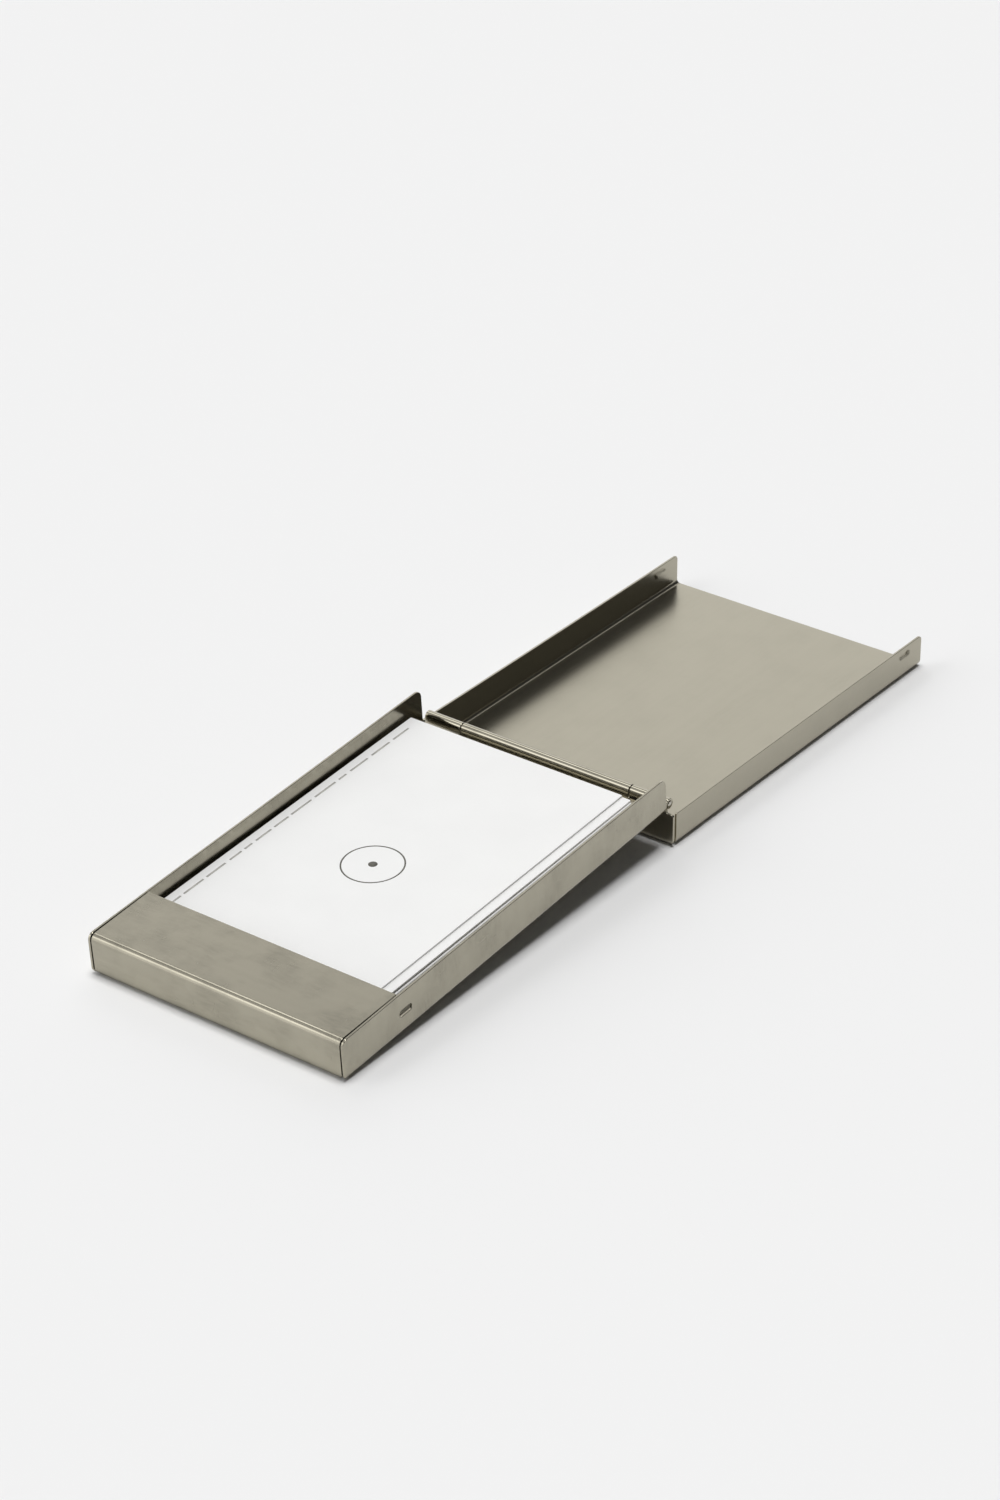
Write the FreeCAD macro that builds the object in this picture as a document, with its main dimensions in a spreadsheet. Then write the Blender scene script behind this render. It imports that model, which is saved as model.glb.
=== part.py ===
# Business card case: a folded stainless steel tray and lid on a rolled wire hinge, with its cards.
#
# Frame: X across the case, +Y from the tray towards the lid, +Z up. The case stands open on a
# flat surface: the lid lies on its outer face, and the tray leans from the hinge down to its
# front edge. Each folded sheet is drawn about the hinge axis, level, and is then placed.
import FreeCAD, Part
import math
import os
import Sketcher

# Driving dimensions in millimetres: alias, value, what it is.
DRIVING_SIZES = [
    ("sheet", 0.5, "thickness of the folded steel sheet"),
    ("bend_radius", 1.4, "outer radius of every press-brake bend"),
    ("lid_width", 61.4, "lid, outside, across the case"),
    ("lid_length", 90.1, "lid, outer face of the end wall to the open end"),
    ("lid_wall", 7.05, "lid, height of its walls over the outer face"),
    ("lid_wall_start", 0.8, "lid, end wall's outer face to the side walls"),
    ("lid_corner", 1.0, "lid, rounding of the side walls' open ends"),
    ("end_wall_corner", 0.7, "lid, rounding of the end wall's upper corners"),
    ("tray_width", 59.0, "tray, outside, across the case"),
    ("tray_reach", 100.3, "tray, hinge axis to the outer face of the front wall"),
    ("tray_wall_front", 8.8, "tray, height of the side walls at the band"),
    ("tray_wall_rear", 8.1, "tray, height of the side walls at the hinge"),
    ("tray_setback", 1.7, "tray, hinge axis to the rear end of floor and side walls"),
    ("tray_corner", 1.2, "tray, rounding of the side walls' rear ends"),
    ("band_depth", 16.35, "tray, depth of the band over the cards' front ends"),
    ("corner_seam", 0.25, "tray, seam between front wall or band and a side wall"),
    ("axis_height", 8.65, "hinge axis over the lid's outer face"),
    ("pin_radius", 0.6, "radius of the hinge wire"),
    ("pin_running_gap", 0.05, "play of the wire in the tray's knuckle"),
    ("pin_grip_gap", 0.01, "play of the wire in the lid's closed-up knuckles"),
    ("pin_end", 0.3, "wire end, length past the last knuckle"),
    ("pin_dome", 0.15, "height of the filed dome on each wire end"),
    ("curl_turn", 300.0, "degrees that each knuckle is rolled round"),
    ("knuckle_joint", 20.25, "centre line to the joint between two knuckles"),
    ("knuckle_gap", 0.2, "width of that joint"),
    ("barrel_half", 29.0, "centre line to the end of the barrel"),
    ("catch_reach", 82.5, "hinge axis to the catch, on lid and tray"),
    ("catch_height", 4.6, "catch slot over the tray's under face"),
    ("slot_length", 3.6, "catch slot, end to end"),
    ("slot_width", 1.4, "catch slot, across"),
    ("dimple_length", 4.2, "dimple on the inside of the lid, end to end"),
    ("dimple_width", 1.6, "dimple on the inside of the lid, across"),
    ("dimple_height", 0.5, "dimple, height over the inner face"),
    ("dimple_recess", 0.45, "dimple, depth of the hollow on the outer face"),
    ("card_width", 50.8, "card, short side"),
    ("card_length", 88.9, "card, long side"),
    ("card_thick", 0.39, "card, thickness"),
    ("card_pitch", 0.4, "one card to the next in the stack"),
    ("card_left", -28.13, "left edge of the top card"),
    ("card_rear", 6.4, "hinge axis to the rear edge of the top card"),
]

# How far each card lies right of, and forward of, the top card: from the floor up.
CARD_SHIFTS = [
    (3.6, 0.5),
    (3.3, 0.9),
    (3.8, 0.4),
    (3.4, 0.7),
    (3.9, 0.3),
    (3.5, 0.8),
    (3.7, 0.6),
    (3.3, 0.7),
    (2.0, 0.0),
    (0.0, 0.0),
]

COUNTER_CLOCKWISE = 1
CLOCKWISE = -1

document = FreeCAD.newDocument("card_case")
sheet = document.addObject("Spreadsheet::Sheet", "sizes")
for row, (alias, value, meaning) in enumerate(DRIVING_SIZES, start=1):
    sheet.set(f"A{row}", meaning)
    sheet.set(f"B{row}", str(value))
    sheet.setAlias(f"B{row}", alias)
document.recompute()


def size(alias):
    """Gives the expression that reads one driving dimension."""
    return f"sizes.{alias}"


def measure(expression):
    """Gives an expression's value in millimetres or degrees."""
    value = sheet.evalExpression(expression)
    return float(getattr(value, "Value", value))


# Lengths that follow from the driving dimensions, as expressions.
SHEET = size("sheet")
BEND = size("bend_radius")
TRAY_BARREL = f"({size('pin_radius')} + {size('pin_running_gap')} + {SHEET})"
LID_BARREL = f"({size('pin_radius')} + {size('pin_grip_gap')} + {SHEET})"
KNUCKLE_END = f"({size('knuckle_joint')} - {size('knuckle_gap')} / 2)"
OVERLAP = "1"  # how far a fold's outline runs on into the sheet that it grows from


class Corner:
    """A corner of an outline, with the arc that leaves it if that side is curved."""

    def __init__(self, across, up, centre=None, turn=COUNTER_CLOCKWISE):
        self.place = (across, up)
        self.centre = centre
        self.turn = turn


def origin_plane(body, role):
    """Finds one of a body's own origin planes."""
    return next(item for item in body.Origin.OriginFeatures if item.Role == role)


def fix(sketch, side, point, axis, expression):
    """Binds one coordinate of a sketch point to an expression."""
    if expression == "0":
        on_axis = -2 if axis == "X" else -1
        sketch.addConstraint(Sketcher.Constraint("PointOnObject", side, point, on_axis))
        return
    value = measure(expression)
    kind = f"Distance{axis}"
    if value < 0:
        constraint = Sketcher.Constraint(kind, side, point, -1, 1, -value)
        expression = f"-({expression})"
    else:
        constraint = Sketcher.Constraint(kind, -1, 1, side, point, value)
    index = sketch.addConstraint(constraint)
    sketch.setExpression(f"Constraints[{index}]", expression)


def draw_outline(sketch, corners):
    """Draws one closed outline of lines and arcs, every corner bound to its expressions."""
    places = [FreeCAD.Vector(measure(c.place[0]), measure(c.place[1]), 0) for c in corners]
    first = sketch.GeometryCount
    ends = []
    for index, corner in enumerate(corners):
        start = places[index]
        end = places[(index + 1) % len(corners)]
        side = first + index
        if corner.centre is None:
            sketch.addGeometry(Part.LineSegment(start, end))
            ends.append((1, 2))
        else:
            centre = FreeCAD.Vector(measure(corner.centre[0]), measure(corner.centre[1]), 0)
            circle = Part.Circle(centre, FreeCAD.Vector(0, 0, 1), (start - centre).Length)
            angles = [math.atan2(p.y - centre.y, p.x - centre.x) for p in (start, end)]
            if corner.turn == CLOCKWISE:
                angles.reverse()
            sketch.addGeometry(Part.ArcOfCircle(circle, angles[0], angles[1]))
            ends.append((1, 2) if corner.turn == COUNTER_CLOCKWISE else (2, 1))
            # The two ends leave a centre one way to move, along the middle of its arc.
            chord = end - start
            free = 0 if abs(chord.y) >= abs(chord.x) - 1e-9 else 1
            fix(sketch, side, 3, "XY"[free], corner.centre[free])
    for index, corner in enumerate(corners):
        following = (index + 1) % len(corners)
        joint = (first + index, ends[index][1], first + following, ends[following][0])
        sketch.addConstraint(Sketcher.Constraint("Coincident", *joint))
        fix(sketch, first + index, ends[index][0], "X", corner.place[0])
        fix(sketch, first + index, ends[index][0], "Y", corner.place[1])


def new_body(label):
    """Starts a sub-part whose label names its file."""
    body = document.addObject("PartDesign::Body", label)
    body.Label = label
    return body


def new_sketch(body, name, plane, outlines, offset=None):
    """Draws outlines on an origin plane of the body, or offset along its normal."""
    sketch = body.newObject("Sketcher::SketchObject", name)
    sketch.AttachmentSupport = [(origin_plane(body, plane), "")]
    sketch.MapMode = "FlatFace"
    if offset is not None:
        sketch.setExpression("AttachmentOffset.Base.z", offset)
    for corners in outlines:
        draw_outline(sketch, corners)
    return sketch


def pad(body, name, sketch, length, symmetric=False, reverse=False):
    """Adds material: one outline pushed out to a length."""
    feature = body.newObject("PartDesign::Pad", name)
    feature.Profile = sketch
    feature.SideType = "Symmetric" if symmetric else "One side"
    feature.Reversed = reverse
    feature.setExpression("Length", length)
    return feature


def pocket(body, name, sketch, depth=None):
    """Cuts material: to a depth, or through the whole body both ways."""
    feature = body.newObject("PartDesign::Pocket", name)
    feature.Profile = sketch
    if depth is None:
        feature.SideType = "Symmetric"
        feature.Type = "ThroughAll"
    else:
        feature.setExpression("Length", depth)
    return feature


def channel_outline(width, bottom, top):
    """Outlines a floor and two side walls, looking along the case."""
    half = f"{width} / 2"
    bend_line = f"{half} - {BEND}"
    bend_top = f"{bottom} + {BEND}"
    inner = f"{half} - {SHEET}"
    inside = f"{bottom} + {SHEET}"
    return [
        Corner(f"-({half})", top),
        Corner(f"-({half})", bend_top, (f"-({bend_line})", bend_top)),
        Corner(f"-({bend_line})", bottom),
        Corner(bend_line, bottom, (bend_line, bend_top)),
        Corner(half, bend_top),
        Corner(half, top),
        Corner(inner, top),
        Corner(inner, bend_top, (bend_line, bend_top), CLOCKWISE),
        Corner(bend_line, inside),
        Corner(f"-({bend_line})", inside, (f"-({bend_line})", bend_top), CLOCKWISE),
        Corner(f"-({inner})", bend_top),
        Corner(f"-({inner})", top),
    ]


def waste_corner(across, up, radius, side, rise):
    """Outlines what a rounding takes off a square corner at (across, up).

    side and rise are 1 or -1: where the material lies from the corner, across and up.
    """
    centre_across = f"{across} + {side} * {radius}"
    centre_up = f"{up} + {rise} * {radius}"
    turn = CLOCKWISE if side * rise > 0 else COUNTER_CLOCKWISE
    return [
        Corner(across, centre_up),
        Corner(across, up),
        Corner(centre_across, up, (centre_across, centre_up), turn),
    ]


def obround(across, up, length, width):
    """Outlines a slot with round ends that lies along the first axis."""
    near = f"{across} - ({length} - {width}) / 2"
    far = f"{across} + ({length} - {width}) / 2"
    low = f"{up} - {width} / 2"
    high = f"{up} + {width} / 2"
    return [
        Corner(near, low),
        Corner(far, low, (far, up)),
        Corner(far, high),
        Corner(near, high, (near, up)),
    ]


def on_circle(radius, angle):
    """Gives the two coordinates of a point on a circle about the hinge axis."""
    return f"{radius} * cos({angle} * 1deg)", f"{radius} * sin({angle} * 1deg)"


def build_tray():
    """Folds the tray: floor, side walls, front wall with its band, and the long middle knuckle."""
    body = new_body("tray_shell")
    under = f"-{TRAY_BARREL}"
    floor = f"{under} + {SHEET}"
    front = f"-{size('tray_reach')}"
    rear = f"-{size('tray_setback')}"
    top = f"{under} + {size('tray_wall_front')}"
    top_rear = f"{under} + {size('tray_wall_rear')}"

    channel = new_sketch(
        body,
        "channel_outline",
        "XZ_Plane",
        [channel_outline(size("tray_width"), under, top)],
        offset=size("tray_setback"),
    )
    pad(body, "channel", channel, f"{size('tray_reach')} - {size('tray_setback')}")

    # The front wall rises from the floor and turns back over the cards as the band.
    bend_line = f"{front} + {BEND}"
    low_centre = (bend_line, f"{under} + {BEND}")
    high_centre = (bend_line, f"{top} - {BEND}")
    band_edge = f"{front} + {size('band_depth')}"
    front_fold = new_sketch(
        body,
        "front_outline",
        "YZ_Plane",
        [
            [
                Corner(f"{bend_line} + {OVERLAP}", under),
                Corner(bend_line, under, low_centre, CLOCKWISE),
                Corner(front, low_centre[1]),
                Corner(front, high_centre[1], high_centre, CLOCKWISE),
                Corner(bend_line, top),
                Corner(band_edge, top),
                Corner(band_edge, f"{top} - {SHEET}"),
                Corner(bend_line, f"{top} - {SHEET}", high_centre),
                Corner(f"{front} + {SHEET}", high_centre[1]),
                Corner(f"{front} + {SHEET}", low_centre[1], low_centre),
                Corner(bend_line, floor),
                Corner(f"{bend_line} + {OVERLAP}", floor),
            ]
        ],
    )
    front_width = f"{size('tray_width')} - 2 * ({SHEET} + {size('corner_seam')})"
    pad(body, "front_and_band", front_fold, front_width, symmetric=True)

    # The side walls follow the front bends, fall slightly towards the hinge and end rounded.
    taper_end = f"{rear} - {size('tray_corner')}"
    rounding_foot = f"{top_rear} - {size('tray_corner')}"
    trims = new_sketch(
        body,
        "wall_trims",
        "YZ_Plane",
        [
            waste_corner(front, under, BEND, 1, 1),
            waste_corner(front, top, BEND, 1, -1),
            [
                Corner(band_edge, top),
                Corner(taper_end, top_rear, (taper_end, rounding_foot), CLOCKWISE),
                Corner(rear, rounding_foot),
                Corner(rear, top),
            ],
        ],
    )
    pocket(body, "wall_trimming", trims)

    # The floor's middle tongue runs under the wire, up behind it and forward over it.
    curl_end = f"(270 + {size('curl_turn')})"
    bore = f"({TRAY_BARREL} - {SHEET})"
    curl = new_sketch(
        body,
        "curl_outline",
        "YZ_Plane",
        [
            [
                Corner(f"{rear} - {OVERLAP}", under),
                Corner("0", under, ("0", "0")),
                Corner(*on_circle(TRAY_BARREL, curl_end)),
                Corner(*on_circle(bore, curl_end), ("0", "0"), CLOCKWISE),
                Corner("0", f"-{bore}"),
                Corner(f"{rear} - {OVERLAP}", f"-{bore}"),
            ]
        ],
    )
    pad(body, "middle_knuckle", curl, f"2 * {KNUCKLE_END}", symmetric=True)

    slot = obround(
        f"-{size('catch_reach')}",
        f"{under} + {size('catch_height')}",
        size("slot_length"),
        size("slot_width"),
    )
    pocket(body, "catch_slots", new_sketch(body, "slot_outline", "YZ_Plane", [slot]))
    return body


def build_lid():
    """Folds the lid: plate, side walls with dimples, end wall and the two outer knuckles."""
    body = new_body("lid_shell")
    outer_face = f"-{size('axis_height')}"
    end_face = f"-{LID_BARREL}"
    top = f"{outer_face} + {size('lid_wall')}"
    half = f"{size('lid_width')} / 2"
    open_end = f"{size('lid_length')} - {LID_BARREL}"

    channel = new_sketch(
        body,
        "channel_outline",
        "XZ_Plane",
        [channel_outline(size("lid_width"), outer_face, top)],
        offset=f"-({open_end})",
    )
    pad(body, "channel", channel, f"{size('lid_length')} - {size('lid_wall_start')}")

    # The end wall stands across the full width, in front of the side walls' ends.
    bend_line = f"{end_face} + {BEND}"
    bend_centre = (bend_line, f"{outer_face} + {BEND}")
    end_fold = new_sketch(
        body,
        "end_wall_outline",
        "YZ_Plane",
        [
            [
                Corner(f"{bend_line} + {OVERLAP}", outer_face),
                Corner(bend_line, outer_face, bend_centre, CLOCKWISE),
                Corner(end_face, bend_centre[1]),
                Corner(end_face, top),
                Corner(f"{end_face} + {SHEET}", top),
                Corner(f"{end_face} + {SHEET}", bend_centre[1], bend_centre),
                Corner(bend_line, f"{outer_face} + {SHEET}"),
                Corner(f"{bend_line} + {OVERLAP}", f"{outer_face} + {SHEET}"),
            ]
        ],
    )
    pad(body, "end_wall", end_fold, size("lid_width"), symmetric=True)

    side_trims = new_sketch(
        body,
        "side_trims",
        "YZ_Plane",
        [
            waste_corner(end_face, outer_face, BEND, 1, 1),
            waste_corner(open_end, top, size("lid_corner"), -1, -1),
        ],
    )
    pocket(body, "side_trimming", side_trims)
    end_trims = new_sketch(
        body,
        "end_trims",
        "XZ_Plane",
        [
            waste_corner(half, outer_face, BEND, -1, 1),
            waste_corner(f"-({half})", outer_face, BEND, 1, 1),
        ],
    )
    pocket(body, "end_trimming", end_trims)
    corner_trims = new_sketch(
        body,
        "corner_trims",
        "XZ_Plane",
        [
            waste_corner(half, top, size("end_wall_corner"), -1, -1),
            waste_corner(f"-({half})", top, size("end_wall_corner"), 1, -1),
        ],
        offset=f"{LID_BARREL} - {size('lid_wall_start')}",
    )
    rounding = pocket(body, "corner_trimming", corner_trims, depth=size("lid_wall_start"))
    rounding.Reversed = True

    # Each outer knuckle runs on up from the end wall, over the wire and down behind it.
    curl_end = f"(180 - {size('curl_turn')})"
    bore = f"({LID_BARREL} - {SHEET})"
    curl = new_sketch(
        body,
        "curl_outline",
        "YZ_Plane",
        [
            [
                Corner(end_face, f"{top} - {OVERLAP}"),
                Corner(end_face, "0", ("0", "0"), CLOCKWISE),
                Corner(*on_circle(LID_BARREL, curl_end)),
                Corner(*on_circle(bore, curl_end), ("0", "0")),
                Corner(f"-{bore}", "0"),
                Corner(f"-{bore}", f"{top} - {OVERLAP}"),
            ]
        ],
        offset=f"{size('knuckle_joint')} + {size('knuckle_gap')} / 2",
    )
    knuckle = pad(body, "outer_knuckle", curl, f"{size('barrel_half')} - {KNUCKLE_END}")

    # Each side wall is pressed inwards into a dimple that snaps into the tray's slot.
    catch = (
        size("catch_reach"),
        f"{TRAY_BARREL} - {size('catch_height')}",
    )
    boss_outline = obround(*catch, size("dimple_length"), size("dimple_width"))
    boss_sketch = new_sketch(
        body, "boss_outline", "YZ_Plane", [boss_outline], offset=f"{half} - {SHEET} / 2"
    )
    boss_length = f"{SHEET} / 2 + {size('dimple_height')}"
    boss = pad(body, "dimple_boss", boss_sketch, boss_length, reverse=True)
    recess_outline = obround(*catch, size("slot_length"), size("slot_width"))
    recess_sketch = new_sketch(
        body, "recess_outline", "YZ_Plane", [recess_outline], offset=half
    )
    recess = pocket(body, "dimple_recess", recess_sketch, depth=size("dimple_recess"))

    mirror = body.newObject("PartDesign::Mirrored", "left_side")
    mirror.Originals = [knuckle, boss, recess]
    mirror.MirrorPlane = (origin_plane(body, "YZ_Plane"), [""])
    body.Tip = mirror
    return body


def build_pin():
    """Cuts the hinge wire, with a low dome filed on each end."""
    body = new_body("hinge_pin")
    radius = size("pin_radius")
    dome = size("pin_dome")
    shoulder = f"({size('barrel_half')} + {size('pin_end')} - {dome})"
    dome_radius = f"({radius} * {radius} + {dome} * {dome}) / (2 * {dome})"
    centre = f"({shoulder} + {dome} - {dome_radius})"
    outline = [
        Corner(f"-({shoulder} + {dome})", "0", (f"-{centre}", "0"), CLOCKWISE),
        Corner(f"-{shoulder}", radius),
        Corner(shoulder, radius, (centre, "0"), CLOCKWISE),
        Corner(f"{shoulder} + {dome}", "0"),
    ]
    sketch = new_sketch(body, "wire_outline", "XY_Plane", [outline])
    wire = body.newObject("PartDesign::Revolution", "wire")
    wire.Profile = sketch
    wire.ReferenceAxis = (sketch, ["H_Axis"])
    wire.Angle = 360
    return body


def build_card(number):
    """Cuts one card."""
    label = f"card_{number}"
    card = document.addObject("Part::Box", label)
    card.Label = label
    card.setExpression("Length", size("card_width"))
    card.setExpression("Width", size("card_length"))
    card.setExpression("Height", size("card_thick"))
    return card


def tray_lean():
    """Gives the tray's slope in radians, with its front bend resting on the surface."""
    run = measure(f"{size('tray_reach')} - {BEND}")
    rise = measure(f"{size('axis_height')} - {BEND}")
    drop = measure(f"{TRAY_BARREL} - {BEND}")
    return math.asin(rise / math.hypot(run, drop)) - math.atan2(drop, run)


def open_depth(lean):
    """Gives how far the tray reaches in front of the hinge axis as it leans."""
    run = measure(f"{size('tray_reach')} - {BEND}")
    climb = measure(f"{size('tray_wall_front')} - {TRAY_BARREL} - {BEND}")
    return run * math.cos(lean) + climb * math.sin(lean) + measure(BEND)


def place_parts(tray, lid, pin, cards):
    """Stands the case open, with the middle of its outline at the origin."""
    lean = tray_lean()
    lid_depth = measure(f"{size('lid_length')} - {LID_BARREL}")
    axis_place = FreeCAD.Vector(0, (open_depth(lean) - lid_depth) / 2, measure(size("axis_height")))
    level = FreeCAD.Placement(axis_place, FreeCAD.Rotation())
    leaning = FreeCAD.Placement(axis_place, FreeCAD.Rotation(FreeCAD.Vector(1, 0, 0), math.degrees(lean)))
    lid.Placement = level
    pin.Placement = level
    tray.Placement = leaning
    front = -measure(f"{size('card_rear')} + {size('card_length')}")
    clearance = measure(f"{size('card_pitch')} - {size('card_thick')}")
    floor = measure(f"{SHEET} - {TRAY_BARREL}") + clearance
    for level_in_stack, (card, (right, forward)) in enumerate(zip(cards, CARD_SHIFTS)):
        place = FreeCAD.Vector(
            measure(size("card_left")) + right,
            front - forward,
            floor + level_in_stack * measure(size("card_pitch")),
        )
        card.Placement = leaning.multiply(FreeCAD.Placement(place, FreeCAD.Rotation()))
    return axis_place, lean


def check_document(parts):
    """Stops if a feature failed, a cut took nothing away or a shape isn't one sound solid."""
    for item in document.Objects:
        if "Invalid" in item.State or "Error" in item.State:
            raise RuntimeError(f"{item.Label} failed: {item.State}")
        if item.TypeId == "PartDesign::Pocket":
            removed = item.BaseFeature.Shape.Volume - item.Shape.Volume
            if removed <= 0:
                raise RuntimeError(f"{item.Label} cuts nothing")
    for part in parts:
        if part.Shape.isNull() or not part.Shape.isValid() or len(part.Shape.Solids) != 1:
            raise RuntimeError(f"{part.Label} isn't one valid solid")


tray_shell = build_tray()
lid_shell = build_lid()
hinge_pin = build_pin()
card_stack = [build_card(number) for number in range(1, len(CARD_SHIFTS) + 1)]
document.recompute()
hinge_place, tray_angle = place_parts(tray_shell, lid_shell, hinge_pin, card_stack)
document.recompute()

sub_parts = [tray_shell, lid_shell, hinge_pin] + card_stack
check_document(sub_parts)
os.makedirs("parts", exist_ok=True)
for sub_part in sub_parts:
    sub_part.Shape.exportStep(f"parts/{sub_part.Label}.step")
    print(f"{sub_part.Label}: {sub_part.Shape.Volume:.2f} mm3, {sub_part.Shape.BoundBox}")
print(f"hinge axis at y {hinge_place.y:.4f}, z {hinge_place.z:.4f}; tray leans {math.degrees(tray_angle):.4f}")
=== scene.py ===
"""A business card case: two folded steel shells on a rolled wire hinge, laid open with its cards.

Lengths are in millimetres until a mesh is made, and the mesh itself is in metres. Each steel shell
is one flat blank with its outline, slots and dimples, which is folded into its final shape.
"""

import logging
import math
import random
from abc import ABC, abstractmethod
from dataclasses import dataclass
from enum import Enum

import bpy
import numpy as np
from mathutils import Matrix, Vector
from mathutils.geometry import delaunay_2d_cdt

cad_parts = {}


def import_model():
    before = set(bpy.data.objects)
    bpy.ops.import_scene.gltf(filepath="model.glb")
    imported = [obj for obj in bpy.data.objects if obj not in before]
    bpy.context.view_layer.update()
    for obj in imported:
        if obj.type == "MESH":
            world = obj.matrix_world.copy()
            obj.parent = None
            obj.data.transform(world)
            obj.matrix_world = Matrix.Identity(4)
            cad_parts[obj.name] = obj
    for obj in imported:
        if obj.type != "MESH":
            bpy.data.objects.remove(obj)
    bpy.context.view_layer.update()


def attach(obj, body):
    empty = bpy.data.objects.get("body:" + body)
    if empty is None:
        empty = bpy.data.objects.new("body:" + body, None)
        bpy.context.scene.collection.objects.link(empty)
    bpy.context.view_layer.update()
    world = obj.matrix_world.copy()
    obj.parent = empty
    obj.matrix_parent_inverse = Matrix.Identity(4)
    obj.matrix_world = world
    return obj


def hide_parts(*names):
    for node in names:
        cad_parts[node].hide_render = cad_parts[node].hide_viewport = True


log = logging.getLogger("card_case")

Outline = list[tuple[float, float]]

MM = 0.001

# How finely the blanks are meshed, in millimetres along them.
FLAT_STEP = 1.8
BEND_STEP = 0.2
ROLL_STEP = 0.16
EDGE_CLEARANCE = 0.09
# Distance over which the direction of the surface is measured.
NORMAL_STEP = 0.004
# Angles round a cut edge at which it has a row of points.
EDGE_ANGLES = (30, 60, 90)
# Length of a section's last stretch, which is more than any flap has.
OPEN_END = 30.0
# Height of the print over the card, and its depth.
PRINT_RISE = 0.006
PRINT_DEPTH = 0.016


# ---------------------------------------------------------------- sizes shared by several pieces


@dataclass(frozen=True)
class Sheet:
    """The steel that both shells are folded from.

    Attributes:
        thick: Thickness of the sheet.
        bend: Outer radius of every bend.
        edge: Radius left on the cut edges by deburring.
    """

    thick: float = 0.5
    bend: float = 1.4
    edge: float = 0.1

    @property
    def quarter(self) -> float:
        """Length of a right-angle bend along its outer face."""
        return self.bend * math.pi / 2


@dataclass(frozen=True)
class HingeLine:
    """Where the hinge axis runs, and how the tray leans from it.

    Attributes:
        y: Distance of the axis from the middle of the open case, along it.
        z: Height of the axis over the surface.
        lean: Slope of the tray in degrees.
    """

    y: float = 5.74959
    z: float = 8.65
    lean: float = 4.3487

    def level(self) -> Matrix:
        """Gives the placement of the lid and the wire."""
        return Matrix.Translation(Vector((0, self.y, self.z)))

    def leaning(self) -> Matrix:
        """Gives the placement of the tray and the cards."""
        return self.level() @ Matrix.Rotation(math.radians(self.lean), 4, "X")


SHEET = Sheet()
HINGE = HingeLine()


# ---------------------------------------------------------------- flat outlines


def arc_points(
    centre: tuple[float, float], radius: float, start: float, end: float, steps: int
) -> Outline:
    """Gives points along an arc.

    Args:
        centre: Middle of the arc.
        radius: Its radius.
        start: First angle in degrees.
        end: Last angle in degrees.
        steps: Number of spans.

    Returns:
        The points, both ends included.
    """
    angles = np.radians(np.linspace(start, end, steps + 1))
    return [(centre[0] + radius * math.cos(a), centre[1] + radius * math.sin(a)) for a in angles]


def round_corners(corners: list[tuple[float, float, float]]) -> Outline:
    """Rounds the corners of a closed polygon.

    Args:
        corners: Each corner's two coordinates and the radius it gets.

    Returns:
        The points of the rounded outline.
    """
    outline = []
    count = len(corners)
    for index, (x, y, radius) in enumerate(corners):
        corner = np.array((x, y))
        before = np.array(corners[index - 1][:2]) - corner
        after = np.array(corners[(index + 1) % count][:2]) - corner
        before /= np.linalg.norm(before)
        after /= np.linalg.norm(after)
        opening = math.acos(float(np.clip(before @ after, -1, 1)))
        if radius <= 0 or opening > math.radians(172):
            outline.append((x, y))
            continue
        reach = radius / math.tan(opening / 2)
        halfway = (before + after) / np.linalg.norm(before + after)
        middle = corner + halfway * radius / math.sin(opening / 2)
        first = corner + before * reach - middle
        last = corner + after * reach - middle
        start = math.atan2(first[1], first[0])
        turn = math.atan2(last[1], last[0]) - start
        turn = (turn + math.pi) % (2 * math.pi) - math.pi
        steps = max(3, round(radius * abs(turn) / 0.12))
        for share in np.linspace(0, 1, steps + 1):
            angle = start + turn * share
            spoke = (radius * math.cos(angle), radius * math.sin(angle))
            outline.append((middle[0] + spoke[0], middle[1] + spoke[1]))
    return outline


def obround(across: float, along: float, length: float, width: float) -> Outline:
    """Gives a slot's outline with round ends, its length along the second axis."""
    half = (length - width) / 2
    top = arc_points((across, along + half), width / 2, 0, 180, 12)
    return top + arc_points((across, along - half), width / 2, 180, 360, 12)


def divide(points: Outline, longest: float) -> np.ndarray:
    """Splits the sides of a closed polygon so that none is longer than a limit."""
    made = []
    for index, start in enumerate(points):
        a = np.array(start)
        b = np.array(points[(index + 1) % len(points)])
        spans = max(1, math.ceil(float(np.linalg.norm(b - a)) / longest))
        made += [a + (b - a) * k / spans for k in range(spans)]
    return np.array(made)


def side_normals(loop: np.ndarray) -> np.ndarray:
    """Gives the direction out of the material, on its left, at each point of a loop.

    Args:
        loop: The loop's points.

    Returns:
        One vector per point, lengthened at a corner so that an offset loop stays parallel.
    """
    edges = np.roll(loop, -1, axis=0) - loop
    edges /= np.linalg.norm(edges, axis=1, keepdims=True)
    right = np.stack([edges[:, 1], -edges[:, 0]], axis=1)
    both = right + np.roll(right, 1, axis=0)
    both /= np.linalg.norm(both, axis=1, keepdims=True)
    return both / np.maximum((both * right).sum(axis=1, keepdims=True), 0.5)


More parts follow.
